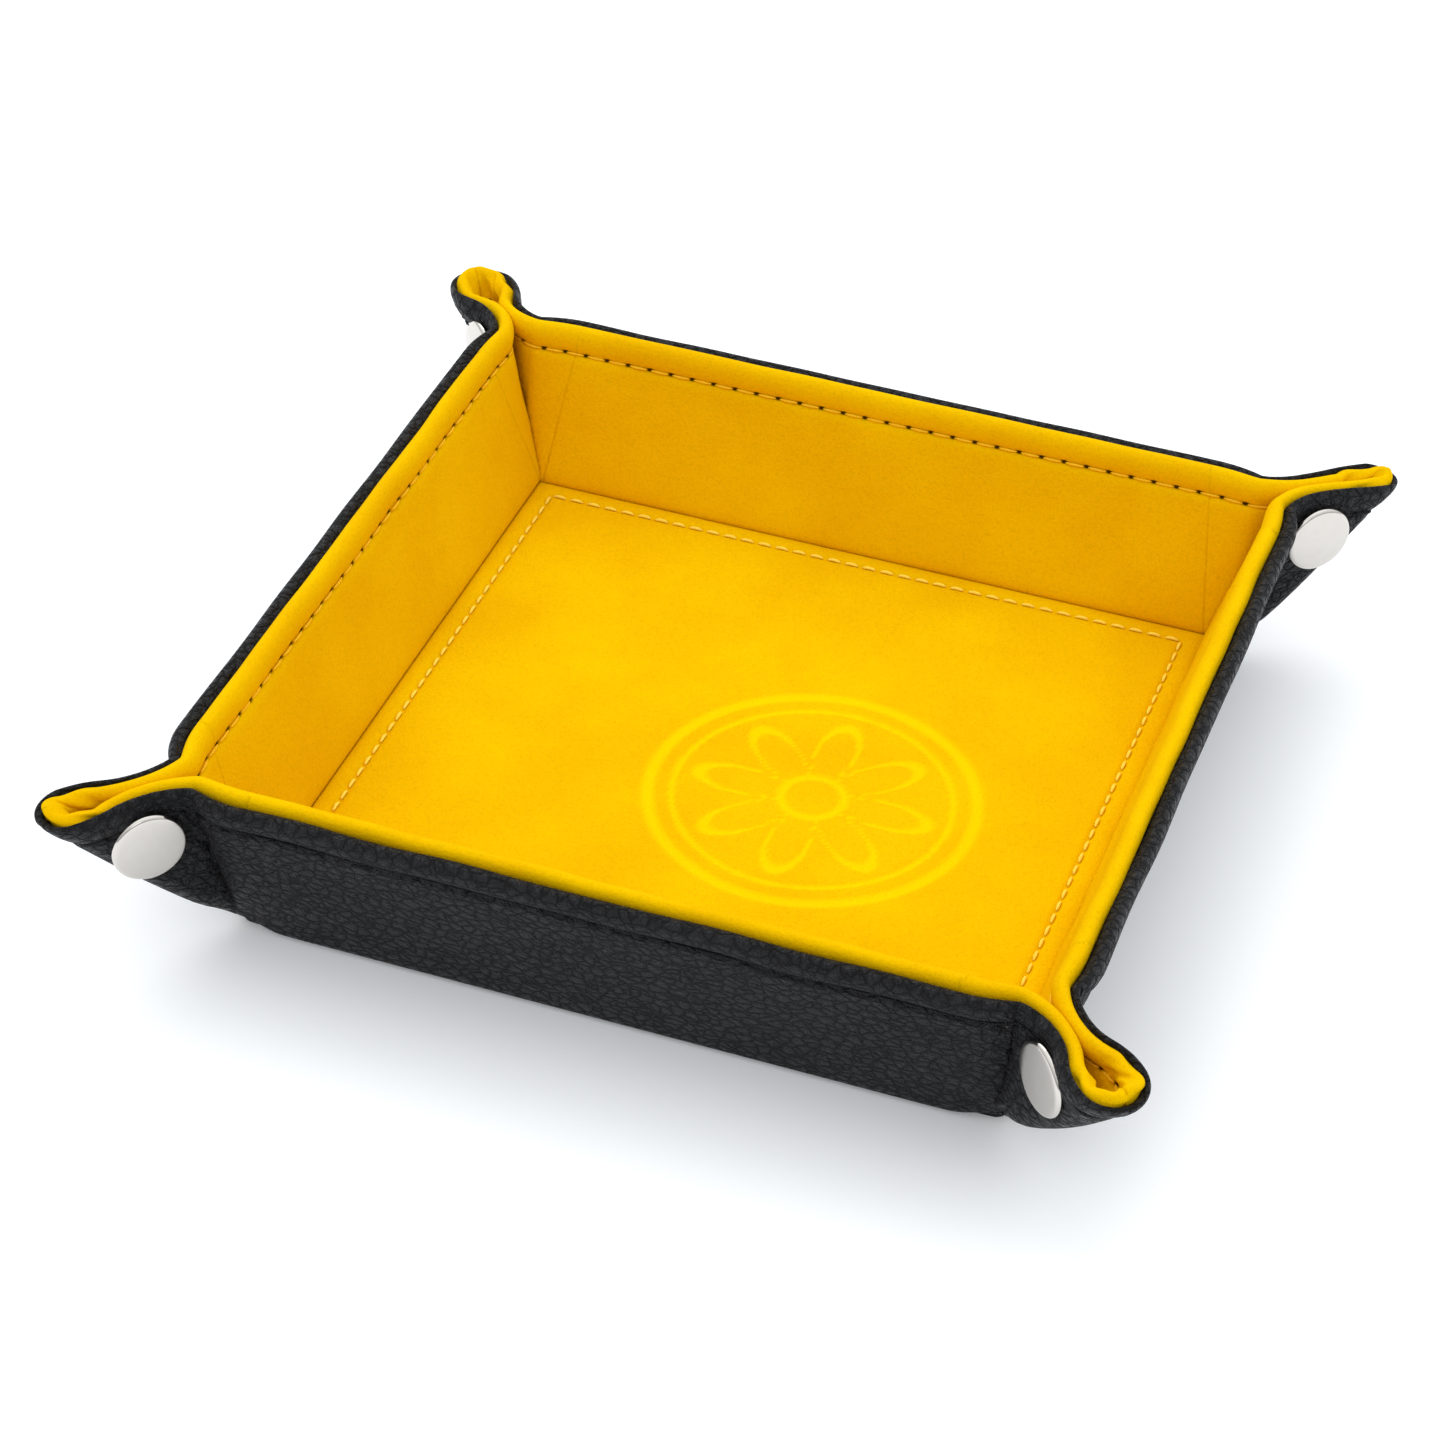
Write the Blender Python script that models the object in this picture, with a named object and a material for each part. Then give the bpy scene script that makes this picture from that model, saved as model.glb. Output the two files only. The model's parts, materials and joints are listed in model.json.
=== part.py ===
"""A folding dice tray: a square sheet of artificial leather and plush lining whose four corners
are pinched into ears and held by ring snaps, so that four walls stand up round a padded floor.

The tray stands on the XY plane with the centre of its underside at the origin. Each wall hangs
from an empty on its fold line, and each half of an ear from an empty on its own crease, so
turning an empty about its joint axis opens that piece. Undone, the sheet lies flat.
"""

import math

import bmesh
import bpy
from mathutils import Matrix

MM = 0.001

# The sheet, through its thickness: leather outside, stiff board, plush lining inside
FABRIC = 1.1 * MM
BOARD = 2.8 * MM
GAP = 0.3 * MM
HALF_SHEET = BOARD / 2 + GAP + FABRIC
LINING_FACE = HALF_SHEET - FABRIC
CREASE_GAP = 0.2 * MM

# The folds of the standing tray
FOLD_HALF = 68.2 * MM
WALL_WIDTH = 33.0 * MM
WALL_LEAN = math.radians(17.2)
LINING_RELIEF = 2.2 * MM
HEM_DEPTH = 4.0 * MM

# The boards stop short of every seam
FLOOR_STITCH_HALF = 62.6 * MM
STITCH_MARGIN = 0.8 * MM
WALL_BOARD_START = 2.6 * MM
WALL_BOARD_END = 27.5 * MM
WALL_END_INSET = 1.6 * MM
BOARD_END_INSET = 2.6 * MM

# Stitching
THREAD = 0.6 * MM
THREAD_HEIGHT = 0.4 * MM
RIM_STITCH_DROP = 4.5 * MM

# The ears: two half sheets, parallel to the upright plane through the tray's corner
EAR_MID = 3.05 * MM
EAR_START = 4.0 * MM
EAR_INSET = 0.9 * MM
EAR_LOOP_SHARE = 0.83
EAR_CURL = 2.0 * MM
CURL_STEPS = 6
FOLD_GAP_LOW = 1.6 * MM
FOLD_GAP_HIGH = 0.2 * MM

# The ring snaps
SNAP_ACROSS = 9.0 * MM
SNAP_ALONG = 28.0 * MM
CAP_RADIUS = 6.25 * MM
CAP_HEIGHT = 1.2 * MM
CAP_RIM = 0.4 * MM
POST_RADIUS = 1.4 * MM
HOLE_RADIUS = 1.8 * MM
SOCKET_RADIUS = 3.6 * MM
SOCKET_MOUTH = 2.15 * MM
SOCKET_ROOF = 0.4 * MM
SOCKET_LIP = 0.4 * MM
SOCKET_HEIGHT = 1.85 * MM
SPRING_GROOVE = 2.9 * MM
SPRING_GROOVE_HEIGHT = 0.8 * MM
SPRING_RADIUS = 2.4 * MM
SPRING_WIRE = 0.2 * MM
SPRING_OPENING = math.radians(50)
STUD_RADIUS = 1.7 * MM
STUD_WAIST = 1.45 * MM
STUD_FLANGE = 0.6 * MM
STUD_REACH = 0.8 * MM
TURNED_STEPS = 24

# Worked out from the folds
EAR_SLANT = math.atan(math.sin(WALL_LEAN))
EAR_TURN = math.acos(math.cos(WALL_LEAN) / math.sqrt(2))
EAR_ROOT = FOLD_HALF - math.sqrt(2) * EAR_MID

WALLS = ("front", "right", "back", "left")
CORNERS = ("front_right", "back_right", "back_left", "front_left")


def clear_scene():
    for obj in list(bpy.data.objects):
        bpy.data.objects.remove(obj, do_unlink=True)


def make_material(name, colour, roughness, metallic=0.0):
    material = bpy.data.materials.new(name)
    material.use_nodes = True
    shader = material.node_tree.nodes["Principled BSDF"]
    shader.inputs["Base Color"].default_value = (*colour, 1)
    shader.inputs["Roughness"].default_value = roughness
    shader.inputs["Metallic"].default_value = metallic
    return material


def add_empty(name, location, rotation, parent=None):
    empty = bpy.data.objects.new(name, None)
    empty.empty_display_size = 0.01
    empty.location = location
    empty.rotation_euler = rotation
    empty.parent = parent
    bpy.context.scene.collection.objects.link(empty)
    return empty


def add_piece(name, bm, material, parent=None, smooth=False):
    """Turns the bmesh into an object that hangs from the given empty."""
    bmesh.ops.recalc_face_normals(bm, faces=bm.faces)
    mesh = bpy.data.meshes.new(name)
    bm.to_mesh(mesh)
    bm.free()
    mesh.materials.append(material)
    if smooth:
        mesh.shade_smooth()
        mesh.set_sharp_from_angle(angle=math.radians(35))
    piece = bpy.data.objects.new(name, mesh)
    piece.parent = parent
    bpy.context.scene.collection.objects.link(piece)
    return piece


def lofted(rings, closed=False):
    """A bmesh through a row of rings of points; the ends are capped, or joined to each other."""
    bm = bmesh.new()
    rows = [[bm.verts.new(point) for point in ring] for ring in rings]
    pairs = list(zip(rows, rows[1:]))
    if closed:
        pairs.append((rows[-1], rows[0]))
    for first, second in pairs:
        for i in range(len(first)):
            j = (i + 1) % len(first)
            bm.faces.new((first[i], first[j], second[j], second[i]))
    if not closed:
        bm.faces.new(reversed(rows[0]))
        bm.faces.new(rows[-1])
    return bm


def turned(profile):
    """A bmesh of the profile's (radius, height) points, turned about the local Z axis."""
    bm = bmesh.new()
    verts = [bm.verts.new((radius, 0, height)) for radius, height in profile]
    edges = [bm.edges.new(pair) for pair in zip(verts, verts[1:])]
    bmesh.ops.spin(
        bm, geom=verts + edges, axis=(0, 0, 1), cent=(0, 0, 0), angle=2 * math.pi,
        steps=TURNED_STEPS,
    )
    bmesh.ops.remove_doubles(bm, verts=bm.verts, dist=0.001 * MM)
    return bm


def box_mesh(half, low, high):
    bm = bmesh.new()
    place = Matrix.Translation((0, 0, (low + high) / 2)) @ Matrix.Diagonal(
        (2 * half, 2 * half, high - low, 1)
    )
    bmesh.ops.create_cube(bm, size=1, matrix=place)
    return bm


# The floor

def make_floor(materials):
    add_piece("base_leather", box_mesh(FOLD_HALF - CREASE_GAP, 0, FABRIC), materials["leather"])
    board_low = FABRIC + GAP
    board_half = FLOOR_STITCH_HALF - STITCH_MARGIN
    add_piece("base_board", box_mesh(board_half, board_low, board_low + BOARD), materials["board"])
    lining_low = board_low + BOARD + GAP
    lining_half = FOLD_HALF - LINING_RELIEF
    add_piece(
        "base_lining", box_mesh(lining_half, lining_low, lining_low + FABRIC), materials["plush"]
    )
    make_floor_stitching(lining_low + FABRIC + GAP, materials["thread"])


def make_floor_stitching(low, material):
    """The square seam that quilts the floor's lining, just above it."""
    inner = FLOOR_STITCH_HALF - THREAD / 2
    outer = FLOOR_STITCH_HALF + THREAD / 2
    high = low + THREAD_HEIGHT
    section = ((inner, low), (outer, low), (outer, high), (inner, high))
    corners = ((1, 1), (-1, 1), (-1, -1), (1, -1))
    rings = [[(x * half, y * half, z) for half, z in section] for x, y in corners]
    add_piece("base_stitching", lofted(rings, closed=True), material)


# The walls. A wall's empty has X along the fold, Y up the wall and Z out through the leather.

def wall_slab(profile, inset):
    """A slab with the profile's (up, out) section, whose ends follow the ear creases."""
    rings = []
    for side in (-1, 1):
        ring = []
        for up, out in profile:
            end = EAR_ROOT + up * math.tan(EAR_SLANT) - inset / math.cos(EAR_SLANT)
            ring.append((side * end, up, out))
        rings.append(ring)
    return lofted(rings)


def hemmed_profile(start, side):
    """The section of a fabric layer whose upper edge is turned in: side is 1 out, -1 in."""
    hem = WALL_WIDTH - HEM_DEPTH
    return (
        (start, side * LINING_FACE),
        (start, side * HALF_SHEET),
        (WALL_WIDTH, side * HALF_SHEET),
        (WALL_WIDTH, side * GAP / 2),
        (hem, side * GAP / 2),
        (hem, side * LINING_FACE),
    )


def flat_profile(low, high, inner, outer):
    return ((low, inner), (low, outer), (high, outer), (high, inner))


def make_wall(index, materials):
    """One wall and its empty on the fold line. Returns the empty."""
    name = f"wall_{WALLS[index]}"
    turn = index * math.pi / 2
    place = Matrix.Rotation(turn, 4, "Z") @ Matrix.Translation((0, -FOLD_HALF, HALF_SHEET))
    fold = add_empty(f"{name}_fold", place.translation, (math.pi / 2 + WALL_LEAN, 0, turn))
    leather = wall_slab(hemmed_profile(CREASE_GAP, 1), WALL_END_INSET)
    add_piece(f"{name}_leather", leather, materials["leather"], fold)
    board = wall_slab(
        flat_profile(WALL_BOARD_START, WALL_BOARD_END, -BOARD / 2, BOARD / 2), BOARD_END_INSET
    )
    add_piece(f"{name}_board", board, materials["board"], fold)
    lining = wall_slab(hemmed_profile(LINING_RELIEF, -1), WALL_END_INSET)
    add_piece(f"{name}_lining", lining, materials["plush"], fold)
    seam = WALL_WIDTH - RIM_STITCH_DROP
    near = -HALF_SHEET - GAP
    stitching = wall_slab(
        flat_profile(seam - THREAD / 2, seam + THREAD / 2, near - THREAD_HEIGHT, near),
        BOARD_END_INSET,
    )
    add_piece(f"{name}_stitching", stitching, materials["thread"], fold)
    return fold


# The ears. A half's empty has Y up its crease, X across the half and Z out through the leather.

def ear_row(up):
    """(along crease, along fold, across fold) of the row of the flat sheet at this height."""
    crease = up / math.cos(EAR_SLANT)
    reach = math.sqrt(2) * EAR_MID + up
    along = reach * math.sin(EAR_SLANT) + up * math.cos(EAR_SLANT)
    across = reach * math.cos(EAR_SLANT) - up * math.sin(EAR_SLANT)
    return crease, along, across * EAR_LOOP_SHARE


def ear_curve(up, out, gap):
    """Points across the half at this offset from its middle, curling in until the gap from the
    upright plane where it would meet the other half."""
    crease, along, across = ear_row(up)
    flat_end = across - EAR_CURL
    points = [(EAR_INSET, out)]
    last_angle = math.acos(gap / (EAR_MID + out))
    for step in range(CURL_STEPS + 1):
        angle = last_angle * step / CURL_STEPS
        x = flat_end + (EAR_CURL + out) * math.sin(angle)
        points.append((x, (EAR_MID + out) * math.cos(angle) - EAR_MID))
    rise = (along - crease) / across
    return [(x, crease + rise * x, z) for x, z in points]


def ear_layer(side, inner, outer):
    """One fabric layer of an ear half, between two offsets from its middle. Its halves stand
    further apart at the foot, where they pass closest while the walls unfold."""
    rings = []
    for up, gap in ((EAR_START, FOLD_GAP_LOW), (WALL_WIDTH, FOLD_GAP_HIGH)):
        ring = ear_curve(up, outer, gap) + ear_curve(up, inner, gap)[::-1]
        rings.append([(side * x, y, z) for x, y, z in ring])
    return lofted(rings)


def cut_snap_hole(piece, side):
    """The hole that the snap's post passes through."""
    bm = bmesh.new()
    centre = Matrix.Translation((side * SNAP_ACROSS, SNAP_ALONG, 0))
    bmesh.ops.create_cone(
        bm, cap_ends=True, segments=TURNED_STEPS, radius1=HOLE_RADIUS, radius2=HOLE_RADIUS,
        depth=4 * EAR_MID, matrix=centre,
    )
    cutter = add_piece(f"{piece.name}_hole", bm, piece.data.materials[0], piece.parent)
    cutter.hide_render = True
    cutter.display_type = "WIRE"
    cut = piece.modifiers.new("Snap hole", "BOOLEAN")
    cut.operation = "DIFFERENCE"
    cut.solver = "EXACT"
    cut.object = cutter


def make_ear_half(index, side, fold, materials):
    """The half ear at one end of a wall, with its snap pieces."""
    neighbour = WALLS[(index + side) % 4]
    name = f"ear_{WALLS[index]}_{neighbour}"
    turn = (0, -side * EAR_TURN, -side * EAR_SLANT)
    crease = add_empty(f"{name}_crease", (side * EAR_ROOT, 0, 0), turn, fold)
    layer = GAP / 2 + FABRIC
    leather = add_piece(
        f"{name}_leather", ear_layer(side, GAP / 2, layer), materials["leather"], crease, True
    )
    lining = add_piece(
        f"{name}_lining", ear_layer(side, -layer, -GAP / 2), materials["plush"], crease, True
    )
    cut_snap_hole(leather, side)
    cut_snap_hole(lining, side)
    snap = add_empty(f"{name}_snap", (side * SNAP_ACROSS, SNAP_ALONG, 0), (0, 0, 0), crease)
    if side > 0:
        corner = CORNERS[index]
        make_socket(f"snap_{corner}", layer, snap, materials)
    else:
        corner = CORNERS[index - 1]
        make_stud(f"snap_{corner}", layer, snap, materials)


# The snaps, turned about the local Z axis. The other half's snap meets them at Z = -EAR_MID.

def cap_mesh(layer):
    low = layer + GAP
    return turned((
        (0, low + CAP_HEIGHT),
        (0.7 * CAP_RADIUS, low + 0.93 * CAP_HEIGHT),
        (0.93 * CAP_RADIUS, low + 0.7 * CAP_HEIGHT),
        (CAP_RADIUS, low + CAP_RIM),
        (CAP_RADIUS, low),
        (POST_RADIUS, low),
        (POST_RADIUS, -layer),
        (0, -layer),
    ))


def make_socket(name, layer, snap, materials):
    top = -layer - GAP
    mouth = top - SOCKET_HEIGHT
    groove_low = mouth + SOCKET_LIP
    groove_high = groove_low + SPRING_GROOVE_HEIGHT
    socket = turned((
        (0, top),
        (SOCKET_RADIUS, top),
        (SOCKET_RADIUS, mouth),
        (SOCKET_MOUTH, mouth),
        (SOCKET_MOUTH, groove_low),
        (SPRING_GROOVE, groove_low),
        (SPRING_GROOVE, groove_high),
        (SOCKET_MOUTH, groove_high),
        (SOCKET_MOUTH, top - SOCKET_ROOF),
        (0, top - SOCKET_ROOF),
    ))
    add_piece(f"{name}_socket_cap", cap_mesh(layer), materials["nickel"], snap, True)
    add_piece(f"{name}_socket", socket, materials["nickel"], snap, True)
    spring = spring_mesh((groove_low + groove_high) / 2)
    add_piece(f"{name}_spring", spring, materials["spring"], snap, True)


def spring_mesh(height):
    """The split wire ring that grips the stud."""
    rings = []
    span = 2 * math.pi - SPRING_OPENING
    for step in range(TURNED_STEPS + 1):
        turn = SPRING_OPENING / 2 + span * step / TURNED_STEPS
        ring = []
        for corner in range(6):
            angle = corner * math.pi / 3
            radius = SPRING_RADIUS + SPRING_WIRE * math.cos(angle)
            z = height + SPRING_WIRE * math.sin(angle)
            ring.append((radius * math.cos(turn), radius * math.sin(turn), z))
        rings.append(ring)
    return lofted(rings)


def make_stud(name, layer, snap, materials):
    top = -layer - GAP
    flange = top - STUD_FLANGE
    tip = -EAR_MID - STUD_REACH
    stud = turned((
        (0, top),
        (SOCKET_RADIUS, top),
        (SOCKET_RADIUS, flange),
        (STUD_WAIST, flange),
        (STUD_WAIST, (flange + tip) / 2),
        (STUD_RADIUS, (flange + 3 * tip) / 4),
        (STUD_WAIST, tip),
        (0, tip),
    ))
    add_piece(f"{name}_stud_cap", cap_mesh(layer), materials["nickel"], snap, True)
    add_piece(f"{name}_stud", stud, materials["nickel"], snap, True)


def main():
    clear_scene()
    materials = {
        "leather": make_material("black_leather", (0.012, 0.012, 0.013), 0.5),
        "plush": make_material("yellow_plush", (0.95, 0.55, 0.005), 0.95),
        "board": make_material("grey_board", (0.28, 0.25, 0.21), 0.9),
        "thread": make_material("yellow_thread", (0.9, 0.5, 0.01), 0.6),
        "nickel": make_material("polished_nickel", (0.66, 0.65, 0.62), 0.2, 1.0),
        "spring": make_material("spring_wire", (0.55, 0.53, 0.48), 0.3, 1.0),
    }
    make_floor(materials)
    for index in range(len(WALLS)):
        fold = make_wall(index, materials)
        for side in (-1, 1):
            make_ear_half(index, side, fold, materials)


main()
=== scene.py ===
import json
import math

import bpy
import numpy as np
from mathutils import Matrix, Vector

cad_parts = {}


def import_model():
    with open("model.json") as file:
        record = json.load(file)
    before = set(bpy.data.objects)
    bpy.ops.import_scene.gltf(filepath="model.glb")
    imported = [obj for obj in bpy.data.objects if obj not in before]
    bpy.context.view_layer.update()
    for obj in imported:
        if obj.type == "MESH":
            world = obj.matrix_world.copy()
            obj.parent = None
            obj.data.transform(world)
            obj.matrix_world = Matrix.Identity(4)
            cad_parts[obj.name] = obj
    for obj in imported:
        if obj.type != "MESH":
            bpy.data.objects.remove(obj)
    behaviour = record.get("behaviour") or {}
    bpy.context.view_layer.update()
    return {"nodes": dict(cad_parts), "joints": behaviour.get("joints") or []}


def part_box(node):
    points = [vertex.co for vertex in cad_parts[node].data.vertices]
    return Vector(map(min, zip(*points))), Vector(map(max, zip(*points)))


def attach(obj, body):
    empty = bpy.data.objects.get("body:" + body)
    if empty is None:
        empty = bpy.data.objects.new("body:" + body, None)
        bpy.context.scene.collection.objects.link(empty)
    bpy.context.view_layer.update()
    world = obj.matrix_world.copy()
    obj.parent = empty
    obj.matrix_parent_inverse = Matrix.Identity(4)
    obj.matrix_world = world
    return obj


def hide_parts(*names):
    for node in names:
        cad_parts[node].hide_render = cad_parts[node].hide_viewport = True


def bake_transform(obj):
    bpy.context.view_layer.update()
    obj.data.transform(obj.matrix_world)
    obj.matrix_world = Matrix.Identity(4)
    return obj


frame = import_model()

MM = 0.001
JOINTS = {joint["name"]: joint for joint in frame["joints"]}

# ---- Sizes in millimetres. The frame gives the fold lines, the lean and the snaps' places. ----
FOLD = JOINTS["wall_front_fold"]
FOLD_HALF = -FOLD["pos_m"][1] / MM
HALF_SHEET = FOLD["pos_m"][2] / MM
LEAN = math.radians(90 - FOLD["range_deg"][1])
SIN, COS = math.sin(LEAN), math.cos(LEAN)
WALL = 33.0                 # height of the wall along its slope
FLOOR_TOP = 2 * HALF_SHEET
FLOOR_EDGE = 68.6           # half side of the floor's plush, tucked under the walls'
SKIN = 1.35                 # leather's thickness under the floor
WALLS = ("front", "right", "back", "left")
CORNERS = ("front_right", "back_right", "back_left", "front_left")
EAR_OF = {  # (wall, side) -> (ear's body, corner)
    (w, side): (f"ear_{WALLS[w]}_{WALLS[(w + side) % 4]}", CORNERS[w if side > 0 else w - 1])
    for w in range(4) for side in (1, -1)
}
LOOPS = {
    # At the rim: how far out the ear's tip reaches, half its loop's width, the waist's inset and the
    # tip's height. The last number is how much the fold below the tip bulges.
    "front_right": (34.4, 4.9, 0.8, 32.9, 0.22),
    "front_left": (32.6, 4.0, 1.5, 32.9, 0.04),
    "back_right": (33.6, 3.0, 0.9, 31.4, 0.06),
    "back_left": (31.2, 5.0, 0.9, 32.9, 0.06),
}
TIP_FOOT, TIP_FOOT_UP = 0.6, 1.4   # at the floor: the tip's place along the diagonal and height
NECK_RIM, NECK_SNAP = 2.1, 2.6     # half thickness of the neck at the rim and at the snap
WAIST_OUT, WAIST_IN = 8.5, 4.6     # where the rim turns into the ear, along and off the diagonal
STITCH = 28.5                      # height of the rim stitching along the slope, in the plush
STITCH_OUT = STITCH - 0.1          # and in the leather
PITCH = 4.3                        # about the length of a stitch of the rim
STEPS = 8                          # mesh columns per stitch
LAP, SUNK = 1.2, 0.015             # how far an ear's skin runs on under the wall's, and how deep
HOLE_LONG, HOLE_TALL, HOLE_DEEP = 0.72, 0.40, 0.45
FOOT_LIFT = 0.8                    # how far the fold stands off the table at a corner
FLOOR_STITCH = 62.6                # half side of the floor's square of stitching
FLOOR_PITCH = 3.5
MARK = (14.0, -7.0)                # the pressed ornament's place
PRESSED = 0.62                     # share of the pressed colour on the ornament's lines
CAP_FACE = 4.25                    # from the diagonal's plane to the leather's face at a snap
rng = np.random.default_rng(20)


def smooth(t):
    t = np.clip(t, 0, 1)
    return t * t * (3 - 2 * t)


def bezier(a, b, c, d, t):
    return a * (1 - t) ** 3 + 3 * b * t * (1 - t) ** 2 + 3 * c * t * t * (1 - t) + d * t ** 3


# ---- The middle surface of the folded sheet ----
# Corner coordinates are (along the wall, outwards, up). p runs along the corner's diagonal and
# q is the distance from it.

def middle(v, s, corner):
    """Points of the middle surface. s is the height along the wall's slope. v runs from -1 at the
    wall's centre to 0 where the wall starts to bend, 1 in the ear's neck, 2 at the widest place of
    its loop and 3 at its tip."""
    tip_out, loop, inset, tip_up, bulge = LOOPS[corner]
    f = s / WALL
    out = FOLD_HALF + s * SIN
    up = HALF_SHEET + s * COS
    tip = TIP_FOOT + (tip_out - TIP_FOOT) * (f + bulge * np.maximum(f * (1 - f), 0))
    grown = 1 - np.exp(-tip / 4)
    neck_q = (NECK_SNAP + (NECK_RIM - NECK_SNAP) * smooth((f - 0.84) / 0.14)) * grown
    loop_q = (NECK_SNAP + (loop - NECK_SNAP) * smooth((f - 0.70) / 0.28)) * grown
    neck_p = 0.48 * tip
    nose = np.minimum(1.1 * loop_q, 0.45 * tip)
    bend = FOLD_HALF + (WAIST_OUT - WAIST_IN) / math.sqrt(2) * f - 2 - 7 * f

    def at(p, q):
        return FOLD_HALF + (p - q) / math.sqrt(2), FOLD_HALF + (p + q) / math.sqrt(2)

    start = np.stack(np.broadcast_arrays(bend, out), -1)
    waist = np.stack(np.broadcast_arrays(bend + 2 + 7 * f, out - inset * f * f), -1)
    neck = np.stack(np.broadcast_arrays(*at(neck_p, neck_q)), -1)
    into, away = waist - start, neck - waist
    into_size = np.linalg.norm(into, axis=-1, keepdims=True)
    away_size = np.linalg.norm(away, axis=-1, keepdims=True)
    turn = into / into_size + away / away_size
    turn = turn / np.linalg.norm(turn, axis=-1, keepdims=True) * (0.15 + 0.75 * f)[..., None]
    t = np.clip(2 * v, 0, 1)[..., None]
    first = bezier(start, start + into_size * np.array([0.55, 0]), waist - turn, waist, t)
    t = np.clip(2 * v - 1, 0, 1)[..., None]
    second = bezier(waist, waist + turn, neck - away_size * 0.5 * math.sqrt(0.5), neck, t)
    fillet = np.where(v[..., None] < 0.5, first, second)
    along, outward = fillet[..., 0], fillet[..., 1]
    t = np.clip(v - 1, 0, 1)
    reach = (tip - nose - neck_p) * 0.5
    ear_p = bezier(neck_p, neck_p + reach, tip - nose - reach, tip - nose, t)
    ear_q = bezier(neck_q, neck_q, loop_q, loop_q, t)
    t = np.clip(v - 2, 0, 1) * math.pi / 2
    ear_p = np.where(v > 2, tip - nose + nose * np.sin(t), ear_p)
    ear_q = np.where(v > 2, loop_q * np.cos(t), ear_q)
    ear = at(ear_p, ear_q)
    along = np.where(v > 1, ear[0], np.where(v < 0, (v + 1) * bend, along))
    outward = np.where(v > 1, ear[1], np.where(v < 0, out, outward))
    p = (along + outward - 2 * FOLD_HALF) / math.sqrt(2)
    share = np.clip((p - WAIST_OUT * f) / (tip - WAIST_OUT * f), 0, 1) ** 1.3
    share = np.where(v < 0, 0, share)
    up = up + (TIP_FOOT_UP + (tip_up - TIP_FOOT_UP) * f - up) * share
    return np.stack([along, outward, up], -1)


def normal(v, s, corner):
    """Unit normals of the middle surface, towards the plush."""
    dv, ds = 2e-3, 1e-2
    low, high = np.maximum(v - dv, -1), np.minimum(v + dv, 3)
    across = middle(high, s, corner) - middle(low, s, corner)
    rise = middle(v, s + ds, corner) - middle(v, np.maximum(s - ds, 0), corner)
    n = np.cross(across, rise)
    at_tip = np.asarray(v >= 3 - 1e-6)[..., None]  # there the two halves' normals agree
    level = (n[..., :1] + n[..., 1:2]) / 2
    n = np.where(at_tip, np.concatenate([level, level, n[..., 2:]], -1), n)
    return n / np.linalg.norm(n, axis=-1, keepdims=True)


def skin(v, s, depth, corner, plush):
    """Points at a depth off the middle surface, positive towards the plush. Below s = 0 the leather
    turns under the fold: at s = -3 it faces straight down."""
    v, s, depth = np.broadcast_arrays(np.asarray(v, float), np.asarray(s, float), depth)
    base = middle(v, np.maximum(s, 0), corner)
    n = normal(v, np.maximum(s, 0), corner)
    flat = n[..., :2] / np.linalg.norm(n[..., :2], axis=-1, keepdims=True)
    turn = np.arccos(np.clip(n[..., 2], -1, 1)) * np.clip(1 + s / 3, 0, 1)
    under = np.concatenate([flat * np.sin(turn)[..., None], np.cos(turn)[..., None]], -1)
    n = np.where((s < 0)[..., None], under, n)
    points = base + n * depth[..., None]
    if plush:  # the two halves of a corner press together along the diagonal
        half = (points[..., 1] - points[..., 0]) / 2
        least = np.where(v >= 3 - 1e-6, 0.0, 0.03)
        push = np.maximum(least - half, 0)
        points[..., 0] -= push
        points[..., 1] += push
    return points


# ---- Columns: evenly spaced along the stitching ----

def spread(corner):
    """(half the wall's length to the bend, the ear's v values from there to the tip, their distances
    along the seam, the length of an ear's stitch). A stitch takes STEPS columns, and the waist more."""
    dense = np.linspace(0, 3, 3001)
    line = middle(dense, np.full_like(dense, STITCH), corner)
    run = np.concatenate([[0], np.cumsum(np.linalg.norm(np.diff(line, axis=0), axis=1))])
    stitches = round(run[-1] / PITCH)
    ear_run = np.linspace(0, run[-1], stitches * STEPS + 1)
    waist_run = np.interp(0.5, dense, run)
    between = (ear_run[1:] + ear_run[:-1]) / 2
    ear_run = np.sort(np.concatenate([ear_run, between[np.abs(between - waist_run) < 3]]))
    ear = np.interp(ear_run, run, dense)
    ear[0], ear[-1] = 0, 3
    half_wall = middle(np.array([0.0]), np.array([STITCH]), corner)[0, 0]
    ear = np.concatenate([[-LAP / half_wall], ear])  # the ear laps under the wall's end
    ear_run = np.concatenate([[-LAP], ear_run])
    return half_wall, ear, ear_run, run[-1] / stitches


# ---- Profiles: closed loops of (height along the slope, depth) ----

def arc(s, depth, half_width, height, turns):
    """Half an ellipse over the rim, from depth + half_width to depth - half_width."""
    angle = np.linspace(0, math.pi, turns)
    return [(s + height * math.sin(a), depth + half_width * math.cos(a)) for a in angle]


def dip(s, centre, depth, width):
    return depth * math.exp(-(((s - centre) / width) ** 2))


FACE_ROWS = [
    4.0, 5.5, 7.5, 10, 13, 15.5, 17.2, 18.4, 19.3, 20.2, 21.1, 22, 22.9, 23.8, 24.7, 25.6, 26.4, 27.2,
]
SEAM_ROWS = [27.7, 28.0, 28.2, 28.35, 28.5, 28.65, 28.8, 29.0, 29.3, 29.7, 30.2, 30.8]


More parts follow.
